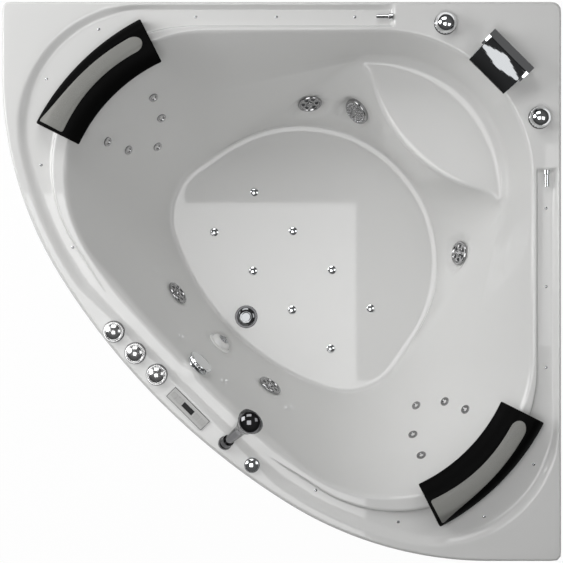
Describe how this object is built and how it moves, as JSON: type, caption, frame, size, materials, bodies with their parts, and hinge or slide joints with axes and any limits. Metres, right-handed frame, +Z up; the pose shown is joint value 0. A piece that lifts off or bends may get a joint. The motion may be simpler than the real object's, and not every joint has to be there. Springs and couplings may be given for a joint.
{
  "type": "corner jetted bathtub",
  "caption": "Corner jetted bath: acrylic shell with jets, pillows, taps, spout and hand shower on a steel frame with pump, blower and pipework.",
  "frame": {"origin": "centre of the bounding box at the floor", "axes": "+X along the back wall to the room corner, +Y along the right wall to the room corner, +Z up"},
  "size_m": [1.53, 1.53, 0.812],
  "materials": {
    "acrylic": "high gloss white",
    "chrome": "polished",
    "satin_plastic": "satin grey",
    "white_plastic": "gloss white",
    "pipe_plastic": "plain pale grey",
    "dark_plastic": "matt dark grey",
    "pillow": "smooth black, glossy",
    "pillow_inset": "grained grey",
    "panel_grey": "satin grey",
    "display_glass": "black gloss",
    "lens_glass": "clear domed",
    "frame_steel": "satin zinc paint",
    "bright_steel": "bright turned",
    "motor_paint": "satin",
    "foot_rubber": "matt",
    "block_wood": "plain timber"
  },
  "bodies": {
    "tub": {"acrylic_shell": "acrylic", "air_injectors": "chrome", "air_pipes": "pipe_plastic", "apron_clips": "bright_steel", "back_jets": "chrome", "base_frame": "frame_steel", "blower_housing": "dark_plastic", "button_sleeve": "chrome", "channel_outlets": "chrome", "control_box": "satin_plastic", "deck_valves": "chrome", "drain_flange": "chrome", "drain_trap": "pipe_plastic", "floor_blocks": "block_wood", "foot_pads": "foot_rubber", "foot_studs": "bright_steel", "front_apron": "acrylic", "headrest_left": "pillow", "headrest_left_inset": "pillow_inset", "headrest_right": "pillow", "headrest_right_inset": "pillow_inset", "jet_bodies": "satin_plastic", "light_housing": "white_plastic", "light_lens": "lens_glass", "overflow_flange": "chrome", "overflow_pipe": "pipe_plastic", "panel_display": "display_glass", "panel_housing": "panel_grey", "pump_motor": "motor_paint", "pump_volute": "dark_plastic", "rim_lights": "lens_glass", "screws": "bright_steel", "shower_socket": "chrome", "spout_base": "chrome", "spout_hood": "chrome", "spout_inlet": "pipe_plastic", "suction_body": "satin_plastic", "suction_cover": "chrome", "suction_pipe": "pipe_plastic", "water_pipes": "pipe_plastic"},
    "hot_knob": {"hot_tap_knob": "chrome"},
    "cold_knob": {"cold_tap_knob": "chrome"},
    "air_left": {"air_knob_left": "chrome"},
    "air_right": {"air_knob_right": "chrome"},
    "diverter": {"diverter_knob": "chrome"},
    "button": {"push_button": "chrome"},
    "key_pump": {"panel_key_pump": "chrome"},
    "key_air": {"panel_key_air": "chrome"},
    "key_light": {"panel_key_light": "chrome"},
    "key_heater": {"panel_key_heater": "chrome"},
    "overflow_turn": {"overflow_knob": "chrome"},
    "plug": {"drain_plug": "chrome"},
    "face_fl": {"jet_face_front_left": "chrome"},
    "face_fr": {"jet_face_front_right": "chrome"},
    "face_bl": {"jet_face_back_left": "chrome"},
    "face_br": {"jet_face_back_right": "chrome"},
    "handset": {"hand_shower": "chrome", "spray_plate": "dark_plastic"},
    "impeller": {"pump_impeller": "dark_plastic"},
    "fan": {"blower_fan": "dark_plastic"}
  },
  "joints": [
    {"name": "hot_tap_turn", "type": "hinge", "parent": "tub", "child": "hot_knob", "pos_m": [0.4476, 0.70499, 0.62], "axis": [0, 0, 1], "range_deg": [0, 90]},
    {"name": "cold_tap_turn", "type": "hinge", "parent": "tub", "child": "cold_knob", "pos_m": [0.70499, 0.4476, 0.62], "axis": [0, 0, 1], "range_deg": [-90, 0]},
    {"name": "air_left_turn", "type": "hinge", "parent": "tub", "child": "air_left", "pos_m": [-0.45821, -0.13718, 0.62], "axis": [0, 0, 1], "range_deg": [-120, 120]},
    {"name": "air_right_turn", "type": "hinge", "parent": "tub", "child": "air_right", "pos_m": [-0.39952, -0.19587, 0.62], "axis": [0, 0, 1], "range_deg": [-120, 120]},
    {"name": "diverter_turn", "type": "hinge", "parent": "tub", "child": "diverter", "pos_m": [-0.34083, -0.25456, 0.62], "axis": [0, 0, 1], "range_deg": [-90, 90]},
    {"name": "button_press", "type": "slide", "parent": "tub", "child": "button", "axis": [0, 0, -1], "range_m": [0, 0.004], "stiffness_N_per_m": 600},
    {"name": "key_pump_press", "type": "slide", "parent": "tub", "child": "key_pump", "axis": [0, 0, -1], "range_m": [0, 0.0006], "stiffness_N_per_m": 400},
    {"name": "key_air_press", "type": "slide", "parent": "tub", "child": "key_air", "axis": [0, 0, -1], "range_m": [0, 0.0006], "stiffness_N_per_m": 400},
    {"name": "key_light_press", "type": "slide", "parent": "tub", "child": "key_light", "axis": [0, 0, -1], "range_m": [0, 0.0006], "stiffness_N_per_m": 400},
    {"name": "key_heater_press", "type": "slide", "parent": "tub", "child": "key_heater", "axis": [0, 0, -1], "range_m": [0, 0.0006], "stiffness_N_per_m": 400},
    {"name": "overflow_knob_turn", "type": "hinge", "parent": "tub", "child": "overflow_turn", "pos_m": [-0.23291, -0.23291, 0.57627], "axis": [0.6786, 0.6786, 0.281], "range_deg": [0, 90]},
    {"name": "plug_lift", "type": "slide", "parent": "tub", "child": "plug", "axis": [0, 0, 1], "range_m": [0, 0.012]},
    {"name": "jet_front_left_turn", "type": "hinge", "parent": "tub", "child": "face_fl", "pos_m": [-0.30578, -0.03558, 0.32839], "axis": [0.7683, 0.5535, 0.3215], "range_deg": [-90, 90]},
    {"name": "jet_front_right_turn", "type": "hinge", "parent": "tub", "child": "face_fr", "pos_m": [-0.03558, -0.30578, 0.32839], "axis": [0.5535, 0.7683, 0.3215], "range_deg": [-90, 90]},
    {"name": "jet_back_left_turn", "type": "hinge", "parent": "tub", "child": "face_bl", "pos_m": [0.08339, 0.52785, 0.26188], "axis": [0.124, -0.8676, 0.4816], "range_deg": [-90, 90]},
    {"name": "jet_back_right_turn", "type": "hinge", "parent": "tub", "child": "face_br", "pos_m": [0.52785, 0.08339, 0.26188], "axis": [-0.8676, 0.124, 0.4816], "range_deg": [-90, 90]},
    {"name": "handset_lift", "type": "slide", "parent": "tub", "child": "handset", "axis": [0.4156, 0.4156, 0.809], "range_m": [0, 0.25]},
    {"name": "impeller_spin", "type": "hinge", "parent": "tub", "child": "impeller", "pos_m": [0.48437, 0.52679, 0.238], "axis": [-0.7071, 0.7071, 0], "continuous": true},
    {"name": "fan_spin", "type": "hinge", "parent": "tub", "child": "fan", "pos_m": [-0.41578, 0.60245, 0.134], "axis": [0, 0, 1], "continuous": true}
  ],
  "couplings": [
    {"joint": "plug_lift", "follows": "overflow_knob_turn", "m_per_rad": 0.0075758}
  ]
}
